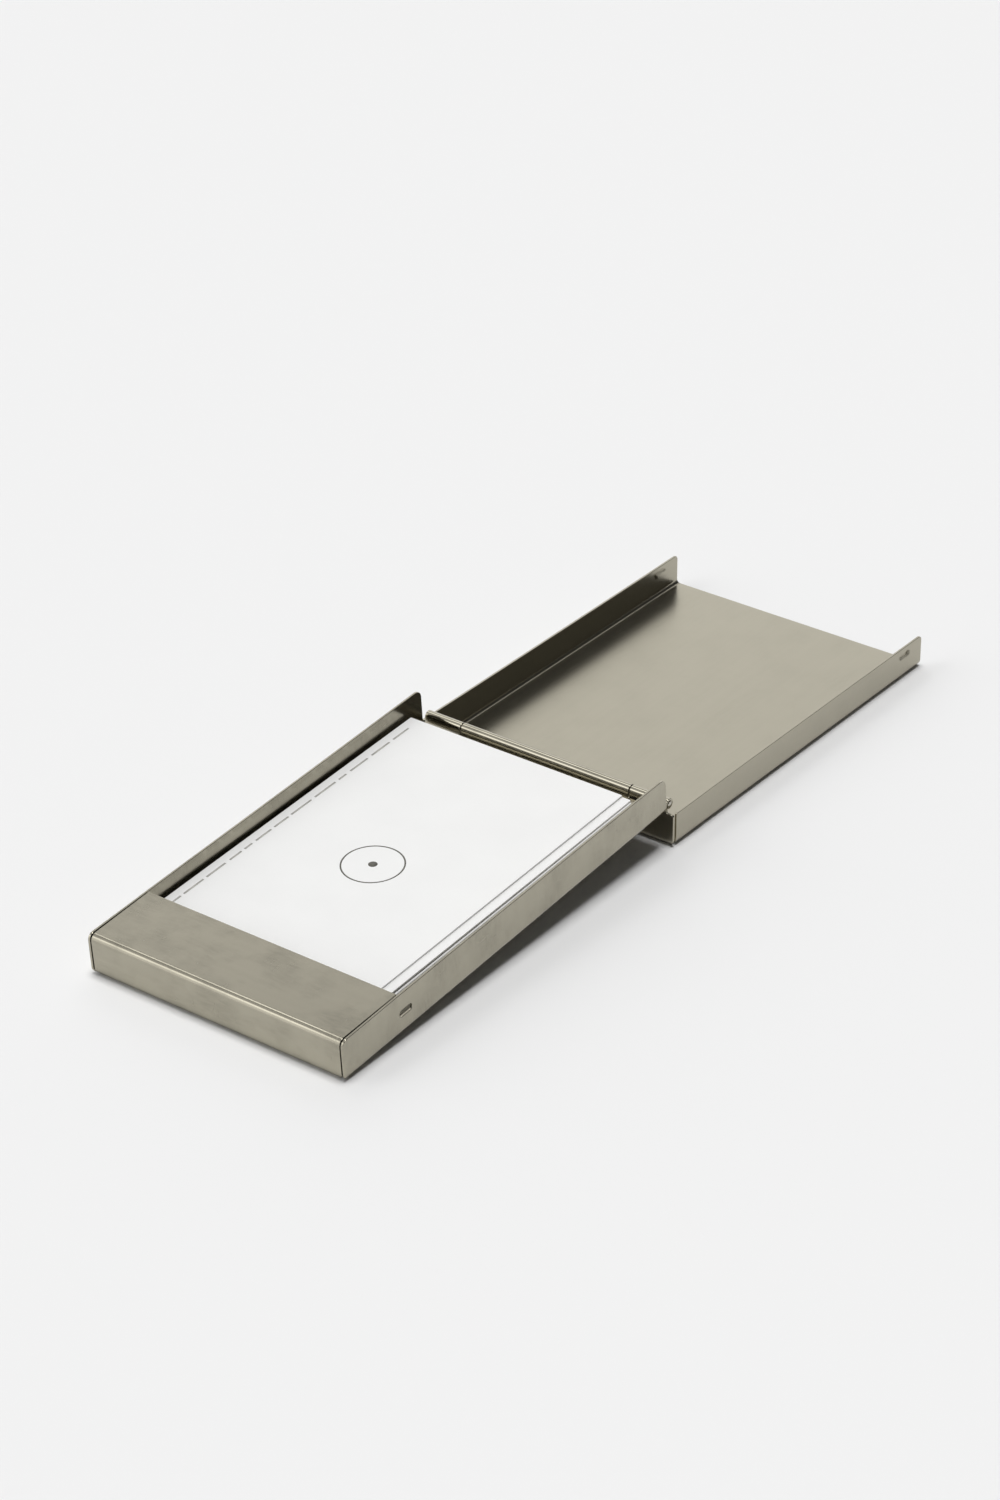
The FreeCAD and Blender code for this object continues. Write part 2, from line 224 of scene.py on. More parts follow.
def inside(points: np.ndarray, loops: list[np.ndarray], clear: float) -> np.ndarray:
    """Says which points lie inside the outline, out of the holes and clear of every edge."""
    within = np.zeros(len(points), bool)
    near = np.full(len(points), np.inf)
    for loop in loops:
        a = loop
        b = np.roll(loop, -1, axis=0)
        for (ax, ay), (bx, by) in zip(a, b):
            crosses = (ay > points[:, 1]) != (by > points[:, 1])
            if ay != by:
                cut = ax + (points[:, 1] - ay) * (bx - ax) / (by - ay)
                within ^= crosses & (points[:, 0] < cut)
            side = np.array((bx - ax, by - ay))
            share = np.clip(((points - (ax, ay)) @ side) / (side @ side), 0, 1)
            gap = np.linalg.norm(points - (ax, ay) - share[:, None] * side, axis=1)
            near = np.minimum(near, gap)
    return within & (near > clear)


# ---------------------------------------------------------------- folding a blank


@dataclass(frozen=True)
class Run:
    """One stretch of a section: straight, or an arc that turns to the left.

    Attributes:
        length: Length along the outer face.
        radius: Outer radius of the arc, or 0 where the stretch is straight.
    """

    length: float
    radius: float = 0.0


@dataclass(frozen=True)
class Section:
    """A path of straights and bends in a plane, with the sheet's outer face on it.

    Attributes:
        start: First point of the path.
        heading: First direction in degrees.
        runs: The stretches in order. The last one goes on past its length.
    """

    start: tuple[float, float]
    heading: float
    runs: tuple[Run, ...]

    def place(self, along: np.ndarray, depth: np.ndarray) -> tuple[np.ndarray, np.ndarray]:
        """Gives the two coordinates of points on the section.

        Args:
            along: Distance along the outer face.
            depth: Distance from it into the sheet, to the left of the path.

        Returns:
            First and second coordinates.
        """
        first = np.zeros_like(along)
        second = np.zeros_like(along)
        x, y = self.start
        heading = math.radians(self.heading)
        begun = 0.0
        for index, run in enumerate(self.runs):
            last = index == len(self.runs) - 1
            here = (along >= begun) & ((along < begun + run.length) | last)
            if index == 0:
                here |= along < 0
            part = along[here] - begun
            sunk = depth[here]
            if run.radius:
                angle = heading + part / run.radius
                centre = (x - run.radius * math.sin(heading), y + run.radius * math.cos(heading))
                first[here] = centre[0] + (run.radius - sunk) * np.sin(angle)
                second[here] = centre[1] - (run.radius - sunk) * np.cos(angle)
                heading += run.length / run.radius
                x = centre[0] + run.radius * math.sin(heading)
                y = centre[1] - run.radius * math.cos(heading)
            else:
                first[here] = x + part * math.cos(heading) - sunk * math.sin(heading)
                second[here] = y + part * math.sin(heading) + sunk * math.cos(heading)
                x += run.length * math.cos(heading)
                y += run.length * math.sin(heading)
            begun += run.length
        return first, second


class SheetPiece(ABC):
    """A piece that starts as a flat blank of sheet.

    On the blank, the first coordinate runs across the case and the second along it.
    """

    sheet = SHEET
    # Longest side of the outline, short enough to stay round through the bends and the knuckles.
    span = 0.3

    @abstractmethod
    def outline(self) -> Outline:
        """Gives the blank's outline, counter-clockwise."""

    def holes(self) -> list[Outline]:
        """Gives the outlines of the holes through the blank, of which most pieces have none."""
        return []

    @abstractmethod
    def stations(self) -> tuple[list[float], list[float]]:
        """Gives the lines across and along the blank where its mesh has points."""

    def extra_points(self) -> np.ndarray:
        """Gives more points, where the sheet is pierced or pressed out of shape."""
        return np.zeros((0, 2))

    @abstractmethod
    def press(self, across: np.ndarray, along: np.ndarray) -> np.ndarray:
        """Gives how far the sheet is pushed inwards at points of the blank."""

    @abstractmethod
    def fold(self, across: np.ndarray, along: np.ndarray, depth: np.ndarray) -> np.ndarray:
        """Gives the folded places of points of the blank, as rows of three coordinates."""

    def formed(self, points: np.ndarray) -> np.ndarray:
        """Presses and folds rows of (across, along, depth)."""
        push = self.press(points[:, 0], points[:, 1])
        return self.fold(points[:, 0], points[:, 1], points[:, 2] + push)

    def flat_mesh(self) -> tuple[np.ndarray, np.ndarray, list[np.ndarray]]:
        """Meshes the blank, short of its rounded edges.

        Returns:
            The points, the triangles, and the border loops as indices with the material on
            their left.
        """
        loops = [divide(self.outline(), self.span)]
        loops += [divide(hole[::-1], self.span) for hole in self.holes()]
        inset = [loop - side_normals(loop) * self.sheet.edge for loop in loops]
        across, along = self.stations()
        grid = np.array([(u, v) for u in across for v in along])
        grid = np.vstack([grid, self.extra_points()])
        grid = grid[inside(grid, inset, EDGE_CLEARANCE)]
        points = np.vstack([*inset, grid])
        edges = []
        begun = 0
        for loop in inset:
            count = len(loop)
            edges += [(begun + k, begun + (k + 1) % count) for k in range(count)]
            begun += count
        made = delaunay_2d_cdt([Vector(p) for p in points], edges, [], 0, 1e-6, False)
        places = np.array([tuple(p) for p in made[0]])
        triangles = np.array(made[2])
        corners = places[triangles]
        first, second = (corners[:, k] - corners[:, 0] for k in (1, 2))
        area = first[:, 0] * second[:, 1] - first[:, 1] * second[:, 0]
        triangles[area < 0] = triangles[area < 0][:, ::-1]
        kept = (np.abs(area) > 1e-9) & inside(corners.mean(axis=1), inset, 0.0)
        return places, triangles[kept], border_loops(triangles[kept])

    def build(self, name: str, placement: Matrix) -> bpy.types.Object:
        """Makes the folded shell, with rounded cut edges.

        Args:
            name: The piece's name.
            placement: Where its own frame, about the hinge axis, lies.

        Returns:
            The new object.
        """
        places, triangles, loops = self.flat_mesh()
        count = len(places)
        thick = self.sheet.thick
        edge = self.sheet.edge
        up = np.array((0.0, 0.0, 1.0))
        points = [np.column_stack([places, np.zeros(count)])]
        points.append(np.column_stack([places, np.full(count, thick)]))
        leans = [np.tile(-up, (count, 1)), np.tile(up, (count, 1))]
        faces = [tuple(t) for t in triangles] + [tuple(t[::-1] + count) for t in triangles]
        begun = 2 * count
        rings = [(a, 0) for a in EDGE_ANGLES] + [(a, 1) for a in reversed(EDGE_ANGLES)]
        for loop in loops:
            outward = side_normals(places[loop])
            unit = outward / np.linalg.norm(outward, axis=1, keepdims=True)
            ladder = [loop]
            for angle, far in rings:
                lean = math.radians(angle)
                rise = edge * (1 - math.cos(lean))
                depth = thick - rise if far else rise
                out = places[loop] + outward * edge * math.sin(lean)
                points.append(np.column_stack([out, np.full(len(loop), depth)]))
                side = math.cos(lean) * (1 if far else -1)
                leans.append(np.column_stack([unit * math.sin(lean), np.full(len(loop), side)]))
                ladder.append(np.arange(begun, begun + len(loop)))
                begun += len(loop)
            ladder.append(loop + count)
            for low, high in zip(ladder, ladder[1:]):
                for k in range(len(loop)):
                    following = (k + 1) % len(loop)
                    faces.append((low[following], low[k], high[k], high[following]))
        blank = np.vstack(points)
        lean = np.vstack(leans)
        folded = self.formed(blank)
        normals = self.formed(blank + lean * NORMAL_STEP) - self.formed(blank - lean * NORMAL_STEP)
        normals = normals / np.linalg.norm(normals, axis=1, keepdims=True)
        return make_piece(name, folded, faces, placement, normals, blank[:, :2])


def border_loops(triangles: np.ndarray) -> list[np.ndarray]:
    """Chains the sides that only one triangle has into closed loops."""
    sides = set()
    for a, b, c in triangles.tolist():
        sides.update(((a, b), (b, c), (c, a)))
    following = {a: b for a, b in sides if (b, a) not in sides}
    loops = []
    while following:
        start, point = following.popitem()
        loop = [start]
        while point != start:
            loop.append(point)
            point = following.pop(point)
        loops.append(np.array(loop))
    return loops


def make_piece(
    name: str,
    points: np.ndarray,
    faces: list[tuple[int, ...]],
    placement: Matrix,
    normals: np.ndarray | None = None,
    blank: np.ndarray | None = None,
) -> bpy.types.Object:
    """Makes an object from points in millimetres.

    Args:
        name: The piece's name.
        points: Rows of three coordinates in the piece's own frame.
        faces: Corner indices of each face.
        placement: Where the piece's own frame lies, in millimetres.
        normals: Direction the surface faces at each point, if it is known exactly.
        blank: Where each point lies on the flat blank, which the grain of the steel follows.

    Returns:
        The new object, in metres in the row's frame.
    """
    turn = np.array(placement.to_3x3())
    places = (points @ turn.T + np.array(placement.translation)) * MM
    mesh = bpy.data.meshes.new(name)
    mesh.from_pydata(places.tolist(), [], [tuple(int(i) for i in face) for face in faces])
    if signed_volume(mesh) < 0:
        mesh.flip_normals()
    mesh.shade_smooth()
    if blank is not None:
        layer = mesh.uv_layers.new(name="blank")
        corners = np.zeros(len(mesh.loops), np.int32)
        mesh.loops.foreach_get("vertex_index", corners)
        layer.data.foreach_set("uv", (blank[corners] * MM).astype(np.float32).ravel())
    if normals is not None:
        mesh.normals_split_custom_set_from_vertices((normals @ turn.T).tolist())
    piece = bpy.data.objects.new(name, mesh)
    bpy.context.scene.collection.objects.link(piece)
    return piece


def signed_volume(mesh: bpy.types.Mesh) -> float:
    """Gives a closed mesh's volume, below 0 if its faces look inwards."""
    mesh.calc_loop_triangles()
    corners = np.zeros(len(mesh.loop_triangles) * 3, np.int32)
    mesh.loop_triangles.foreach_get("vertices", corners)
    places = np.zeros(len(mesh.vertices) * 3)
    mesh.vertices.foreach_get("co", places)
    a, b, c = places.reshape(-1, 3)[corners.reshape(-1, 3)].transpose(1, 0, 2)
    return float((a * np.cross(b, c)).sum() / 6)


def smooth_step(value: np.ndarray) -> np.ndarray:
    """Eases from 0 to 1, flat at both ends."""
    share = np.clip(value, 0, 1)
    return share * share * (3 - 2 * share)


def mirrored(half: list[tuple[float, ...]]) -> list[tuple[float, ...]]:
    """Completes an outline whose right half is given from its rear to its front."""
    return half + [(-corner[0], *corner[1:]) for corner in reversed(half)]


def spread(start: float, end: float, longest: float) -> list[float]:
    """Gives evenly spread stations between two ends, both included."""
    return np.linspace(start, end, math.ceil(abs(end - start) / longest) + 1).tolist()


def both_sides(stations: list[float]) -> list[float]:
    """Gives stations on both sides of the centre line."""
    return sorted({round(side * s, 4) for s in stations for side in (-1, 1)})


def ripple(across: np.ndarray, along: np.ndarray, seed: int, height: float) -> np.ndarray:
    """Gives the faint unevenness that rolling and folding leave in a sheet.

    Args:
        across: First coordinate on the blank.
        along: Second coordinate on the blank.
        seed: Picks the pattern.
        height: Largest height of each wave.

    Returns:
        How far the sheet is out of true at each point, always towards the inside.
    """
    draw = random.Random(seed)
    total = np.zeros_like(across)
    for _ in range(6):
        length = draw.uniform(24, 60)
        heading = draw.uniform(0, math.pi)
        phase = draw.uniform(0, 2 * math.pi)
        wave = (across * math.cos(heading) + along * math.sin(heading)) * 2 * math.pi / length
        total += height * length / 60 * (1 + np.sin(wave + phase))
    return total


# ---------------------------------------------------------------- finishes


def linear(hex_colour: str) -> tuple[float, float, float, float]:
    """Turns an sRGB hex colour into the linear values a shader takes."""
    channels = [int(hex_colour[k : k + 2], 16) / 255 for k in (1, 3, 5)]
    values = [c / 12.92 if c <= 0.04045 else ((c + 0.055) / 1.055) ** 2.4 for c in channels]
    return (values[0], values[1], values[2], 1.0)


def add_node(
    tree: bpy.types.NodeTree,
    kind: str,
    settings: dict[str | int, object] | None = None,
    links: dict[str | int, bpy.types.NodeSocket | bpy.types.Node] | None = None,
) -> bpy.types.Node:
    """Adds one node.

    Args:
        tree: The node tree it goes in.
        kind: The node's type, without the word that all of them begin with.
        settings: Values by property name or, where there is none, by input socket.
        links: What feeds each input socket: an output, or a node for its first output.

    Returns:
        The new node.
    """
    node = tree.nodes.new("ShaderNode" + kind)
    for name, value in (settings or {}).items():
        if isinstance(name, str) and hasattr(node, name):
            setattr(node, name, value)
        else:
            node.inputs[name].default_value = value
    for name, source in (links or {}).items():
        output = source.outputs[0] if isinstance(source, bpy.types.Node) else source
        tree.links.new(output, node.inputs[name])
    return node


def start_material(name: str) -> tuple[bpy.types.Material, bpy.types.NodeTree]:
    """Makes a material and gives it with its empty node tree."""
    material = bpy.data.materials.new(name)
    material.use_nodes = True
    material.node_tree.nodes.clear()
    return material, material.node_tree


class Grain(Enum):
    """Which way the brushing runs on the flat blank."""

    ALONG = (0.0, 1.0)
    ACROSS = (1.0, 0.0)


@dataclass(frozen=True)
class BrushedStainless:
    """Stainless steel sheet, belt brushed: a soft, slightly warm mirror with a fine lay.

    Attributes:
        name: The material's name.
        tint: Colour of the bare metal seen straight on.
        roughness: How far reflections blur.
        grain: Direction of the brushing.
        seed: Where in the patterns this piece's sheet was cut from.
        smudge: How strongly handling has dulled the surface in patches.
        scratches: How much of the surface carries fine scratches, 0 to 1.
        relief: How strongly the brushing and the scratches stand out of the surface, and how
            much darker the worn streaks are.
        rolled_past: Where along the blank the rolled knuckles begin, in millimetres. They lie
            before it, and the rolling tool has burnished them.
        roughness_rolled: How far reflections blur on the knuckles.
    """

    name: str
    tint: str = "#ada898"
    roughness: float = 0.2
    grain: Grain = Grain.ALONG
    seed: float = 0.0
    smudge: float = 0.5
    scratches: float = 0.3
    relief: float = 0.08
    rolled_past: float = -90.0
    roughness_rolled: float = 0.1

    def build(self) -> bpy.types.Material:
        """Makes the material."""
        material, tree = start_material(self.name)
        blank = add_node(tree, "UVMap", {"uv_map": "blank"})
        base = add_node(
            tree, "VectorMath", {"operation": "ADD", 1: (self.seed, self.seed * 0.7, 0.0)},
            {0: blank},
        )
        place = base.outputs["Vector"]
        # The brushing lies in lines about 0.25 mm apart and 15 mm long.
        fine = self.noise(tree, place, 0.25, 15.0, 2.0)
        # Wider streaks, about 1.5 mm apart and 60 mm long, show where the belt wore.
        streak = self.noise(tree, place, 1.5, 60.0, 3.0)
        # Finger marks and haze come in patches about 9 mm wide, with marks of 0.5 by 3 mm in them.
        haze = self.noise(tree, place, 9.0, 9.0, 4.0)
        speck = self.noise(tree, place, 0.5, 3.0, 3.0)
        dull = add_node(
            tree, "MapRange",
            {"From Min": 0.42, "From Max": 0.68, "To Min": 0.0, "To Max": self.smudge},
            {"Value": haze},
        )
        tone = add_node(
            tree, "MapRange",
            {"From Min": 0.3, "From Max": 0.7, "To Min": 1 - 0.9 * self.relief, "To Max": 1.0},
            {"Value": streak},
        )
        mottle = add_node(
            tree, "MapRange", {"From Min": 0.35, "From Max": 0.65, "To Min": 0.88, "To Max": 0.72},
            {"Value": speck},
        )
        patch = add_node(
            tree, "Mix", {"data_type": "FLOAT", "A": 1.0}, {"Factor": dull, "B": mottle},
        )
        shade = add_node(tree, "Math", {"operation": "MULTIPLY"}, {0: tone, 1: patch})
        metal = add_node(
            tree, "Mix", {"data_type": "RGBA", "A": (0.0, 0.0, 0.0, 1.0), 7: linear(self.tint)},
            {"Factor": shade},
        )
        rough = add_node(
            tree, "MapRange", {"To Min": self.roughness, "To Max": self.roughness + 0.06},
            {"Value": dull},
        )
        scratch = self.scratch_lines(tree, place)
        rough_all = add_node(
            tree, "Math", {"operation": "MULTIPLY_ADD", 1: 0.05}, {0: scratch, 2: rough},
        )
        # The knuckles were burnished as they were rolled, so lights draw sharp lines on them.
        blank_axes = add_node(tree, "SeparateXYZ", links={0: blank})
        burnish = add_node(
            tree, "MapRange",
            {
                "From Min": (self.rolled_past - 0.8) * MM, "From Max": self.rolled_past * MM,
                "To Min": self.roughness_rolled - self.roughness, "To Max": 0.0,
            },
            {"Value": blank_axes.outputs["Y"]},
        )
        rough_last = add_node(tree, "Math", {"operation": "ADD"}, {0: rough_all, 1: burnish})
        relief = add_node(
            tree, "Math", {"operation": "MULTIPLY_ADD", 1: -1.5}, {0: scratch, 2: fine},
        )
        bump = add_node(
            tree, "Bump", {"Strength": self.relief, "Distance": 0.004 * MM}, {"Height": relief},
        )
        lay = add_node(tree, "Tangent", {"direction_type": "UV_MAP", "uv_map": "blank"})
        shader = add_node(
            tree, "BsdfPrincipled",
            {
                "Metallic": 1.0, "Anisotropic": 0.35,
                "Anisotropic Rotation": 0.0 if self.grain is Grain.ACROSS else 0.25,
            },
            {
                "Base Color": metal.outputs[2], "Roughness": rough_last, "Normal": bump,
                "Tangent": lay,
            },
        )
        add_node(tree, "OutputMaterial", links={"Surface": shader})
        return material

    def noise(
        self,
        tree: bpy.types.NodeTree,
        place: bpy.types.NodeSocket,
        pitch: float,
        length: float,
        detail: float,
    ) -> bpy.types.NodeSocket:
        """Adds a noise that is drawn out along the grain.

        Args:
            tree: The node tree.
            place: Coordinates on the blank in metres.
            pitch: Size of the marks across the grain, in millimetres.
            length: Their length along it.
            detail: How many finer layers lie on top.

        Returns:
            The noise's value.
        """
        along = self.grain.value
        scale = [1 / (MM * (length if share else pitch)) for share in along]
        stretched = add_node(
            tree, "VectorMath", {"operation": "MULTIPLY", 1: (scale[0], scale[1], 1.0)}, {0: place},
        )
        made = add_node(
            tree, "TexNoise",
            {"noise_dimensions": "2D", "Scale": 1.0, "Detail": detail, "Roughness": 0.55},
            {"Vector": stretched},
        )
        return made.outputs[0]

    def scratch_lines(
        self, tree: bpy.types.NodeTree, place: bpy.types.NodeSocket
    ) -> bpy.types.NodeSocket:
        """Adds fine scratches, about 0.15 mm wide and 4 mm long, in a few directions."""
        total = None
        for turn in (0.5, 1.25, 2.3):
            turned = add_node(
                tree, "Mapping",
                {"Rotation": (0.0, 0.0, turn), "Scale": (1 / (0.5 * MM), 1 / (8.0 * MM), 1.0)},
                {"Vector": place},
            )
            lines = add_node(
                tree, "TexNoise",
                {"noise_dimensions": "2D", "Scale": 1.0, "Detail": 1.0, "Roughness": 0.5},
                {"Vector": turned},
            )
            thin = add_node(
                tree, "MapRange",
                {"From Min": 0.76 - 0.1 * self.scratches, "From Max": 0.8 - 0.1 * self.scratches},
                {"Value": lines},
            )
            if total is None:
                total = thin.outputs["Result"]
            else:
                both = add_node(tree, "Math", {"operation": "MAXIMUM"}, {0: total, 1: thin})
                total = both.outputs["Value"]
        return total


@dataclass(frozen=True)
class UncoatedBoard:
    """White card stock, uncoated and calendered: matt, with a soft fibre mottle.

    Attributes:
        name: The material's name.
        colour: Colour of the board.
        fibre: Size of the fibre mottle in millimetres.
    """

    name: str
    colour: str = "#eaeae9"
    fibre: float = 0.5

    def build(self) -> bpy.types.Material:
        """Makes the material."""
        material, tree = start_material(self.name)
        blank = add_node(tree, "UVMap", {"uv_map": "blank"})
        mottle = add_node(
            tree, "TexNoise", {"Scale": 1 / (self.fibre * MM), "Detail": 4.0, "Roughness": 0.6},
            {"Vector": blank},
        )
        cloud = add_node(
            tree, "TexNoise", {"Scale": 1 / (14 * MM), "Detail": 2.0}, {"Vector": blank},
        )
        both = add_node(tree, "Math", {"operation": "MULTIPLY_ADD", 1: 0.4}, {0: mottle, 2: cloud})
        tone = add_node(
            tree, "MapRange", {"From Min": 0.45, "From Max": 0.95, "To Min": 0.0, "To Max": 1.0},
            {"Value": both},
        )
        dark = tuple(c * 0.965 for c in linear(self.colour)[:3]) + (1.0,)
        colour = add_node(
            tree, "Mix", {"data_type": "RGBA", 6: dark, 7: linear(self.colour)}, {"Factor": tone},
        )
        bump = add_node(tree, "Bump", {"Strength": 0.2, "Distance": 0.01 * MM}, {"Height": mottle})
        shader = add_node(
            tree, "BsdfPrincipled", {"Roughness": 0.62, "IOR": 1.45, "Specular IOR Level": 0.3},
            {"Base Color": colour.outputs[2], "Normal": bump},
        )
        add_node(tree, "OutputMaterial", links={"Surface": shader})
        return material


@dataclass(frozen=True)
class PrintingInk:
    """Offset printing ink on uncoated board: near-black or grey, soaked in, slightly uneven.

    Attributes:
        name: The material's name.
        colour: Colour of the dried ink.
    """

    name: str
    colour: str = "#55534c"

    def build(self) -> bpy.types.Material:
        """Makes the material."""
        material, tree = start_material(self.name)
        place = add_node(tree, "TexCoord")
        # Ink soaks in unevenly over a fibre or two, about 0.3 mm.
        soak = add_node(
            tree, "TexNoise", {"Scale": 1 / (0.3 * MM), "Detail": 3.0, "Roughness": 0.6},
            {"Vector": place.outputs["Object"]},
        )
        light = tuple(min(1.0, c * 1.5 + 0.01) for c in linear(self.colour)[:3]) + (1.0,)
        colour = add_node(
            tree, "Mix", {"data_type": "RGBA", 6: linear(self.colour), 7: light}, {"Factor": soak},
        )
        shader = add_node(
            tree, "BsdfPrincipled", {"Roughness": 0.55, "IOR": 1.5, "Specular IOR Level": 0.3},
            {"Base Color": colour.outputs[2]},
        )
        add_node(tree, "OutputMaterial", links={"Surface": shader})
        return material


@dataclass(frozen=True)
class PaintedBoard:
    """Matt white painted board under the case: pale, even, with no gloss."""

    name: str = "matt_white_painted_board"
    colour: str = "#e9e9e9"

    def build(self) -> bpy.types.Material:
        """Makes the material."""
        material, tree = start_material(self.name)
        shader = add_node(
            tree, "BsdfPrincipled",
            {"Base Color": linear(self.colour), "Roughness": 1.0, "Specular IOR Level": 0.0},
        )
        add_node(tree, "OutputMaterial", links={"Surface": shader})
        return material


TRAY_STEEL = BrushedStainless(
    "brushed_stainless_tray", grain=Grain.ACROSS, seed=0.31, smudge=0.6, scratches=0.2, relief=0.04,
    rolled_past=0.0,
)
LID_STEEL = BrushedStainless(
    "brushed_stainless_lid", roughness=0.28, grain=Grain.ALONG, seed=1.73, smudge=0.12,
    scratches=0.15, relief=0.02, rolled_past=-7.2,
)
WIRE_STEEL = BrushedStainless(
    "drawn_stainless_wire", tint="#c2beb2", roughness=0.16, seed=2.9, smudge=0.3
)
CARD_BOARD = UncoatedBoard("uncoated_white_board")
DARK_INK = PrintingInk("offset_ink_dark")
GREY_INK = PrintingInk("offset_ink_grey", "#a19f9a")


def dress(piece: bpy.types.Object, material: bpy.types.Material, body: str) -> None:
    """Gives a piece its material, in its mesh's one slot, and the body it moves with."""
    piece.data.materials.clear()
    piece.data.materials.append(material)
    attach(piece, body)


# ---------------------------------------------------------------- the two shells


class FoldedShell(SheetPiece):
    """A steel shell: a flat middle with a side wall folded up along each long side.

    Attributes:
        width: Outside width.
    """

    width: float
    # The sheet is true beside the rolled knuckles and beside the walls' bends, and past that
    # its unevenness sets in over an easing length.
    knuckle_clear = 2.0
    knuckle_ease = 12.0
    bend_clear = 2.2
    bend_ease = 4.0
    ripple_height = 0.006

    @property
    def flat_half(self) -> float:
        """Half the width of the flat middle."""
        return self.width / 2 - self.sheet.bend

    def wall_edge(self, height: float) -> float:
        """Gives where a height on a side wall lies across the blank."""
        return self.flat_half + self.sheet.quarter + height - self.sheet.bend

    def unevenness(
        self, across: np.ndarray, along: np.ndarray, reach: float, seed: int, bow: float
    ) -> np.ndarray:
        """Gives how far rolling and folding have left the sheet out of true.

        Args:
            across: First coordinate on the blank.
            along: Second coordinate on the blank.
            reach: Length of the side walls.
            seed: Picks the ripple's pattern.
            bow: How far the side walls lean in at the middle of their length.

        Returns:
            How far the sheet lies inwards at each point. It dies out towards the rolled
            knuckles, and the walls' lean dies out towards their bends.
        """
        free = smooth_step((along - self.knuckle_clear) / self.knuckle_ease)
        wall = smooth_step((np.abs(across) - self.flat_half - self.bend_clear) / self.bend_ease)
        belly = np.sin(np.clip(along / reach, 0, 1) * math.pi)
        return free * (ripple(across, along, seed, self.ripple_height) + bow * wall * belly)


